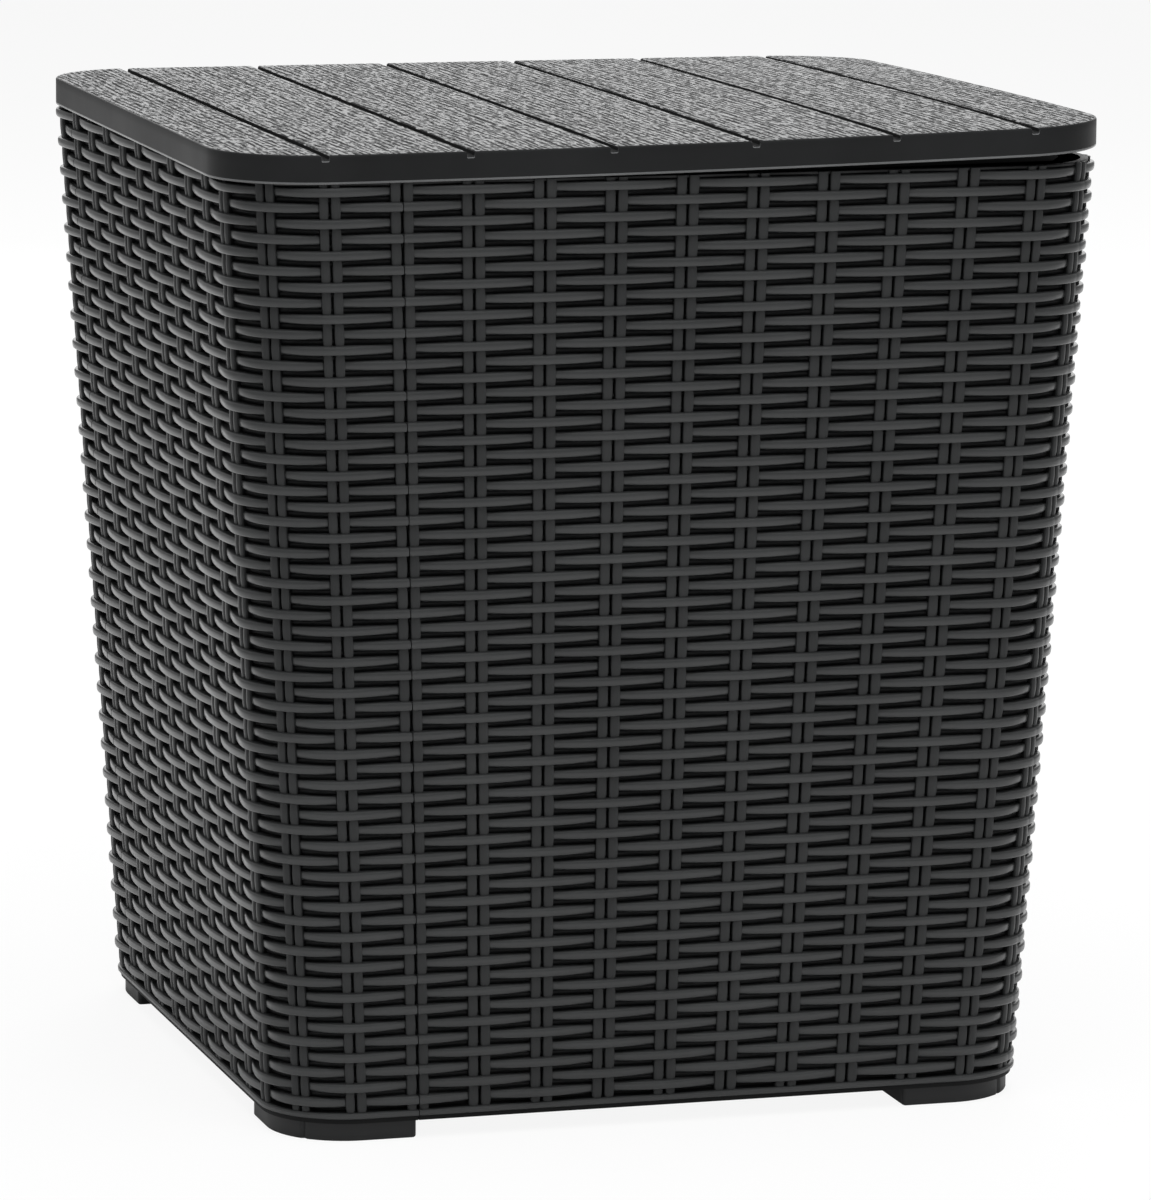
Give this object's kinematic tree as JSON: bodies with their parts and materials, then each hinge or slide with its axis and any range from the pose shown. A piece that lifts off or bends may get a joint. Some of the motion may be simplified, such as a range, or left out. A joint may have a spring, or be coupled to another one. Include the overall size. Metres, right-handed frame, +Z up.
{
  "type": "storage side table",
  "caption": "Square tapered storage side table with woven rattan-look walls, low corner feet and a planked lid that lifts off to open the box.",
  "frame": {"origin": "on the ground, under the middle of the table", "axes": "+Z up, +X along the front face to the right, -Y out of the front face"},
  "size_m": [0.434, 0.434, 0.472],
  "materials": {
    "lid_resin": "wood-grained deck, satin side band, anthracite resin",
    "woven_resin": "satin woven relief, anthracite resin",
    "floor_resin": "fine matt, anthracite resin",
    "screw_steel": "zinc plated"
  },
  "bodies": {
    "box": {"wall_front": "woven_resin", "wall_right": "woven_resin", "wall_back": "woven_resin", "wall_left": "woven_resin", "floor": "floor_resin", "seam_screws_front": "screw_steel", "seam_screws_right": "screw_steel", "seam_screws_back": "screw_steel", "seam_screws_left": "screw_steel", "floor_screws": "screw_steel"},
    "lid": {"lid": "lid_resin"}
  },
  "joints": [
    {"name": "lid_lift", "type": "slide", "parent": "box", "child": "lid", "axis": [0, 0, 1], "range_m": [0, 0.15]}
  ]
}
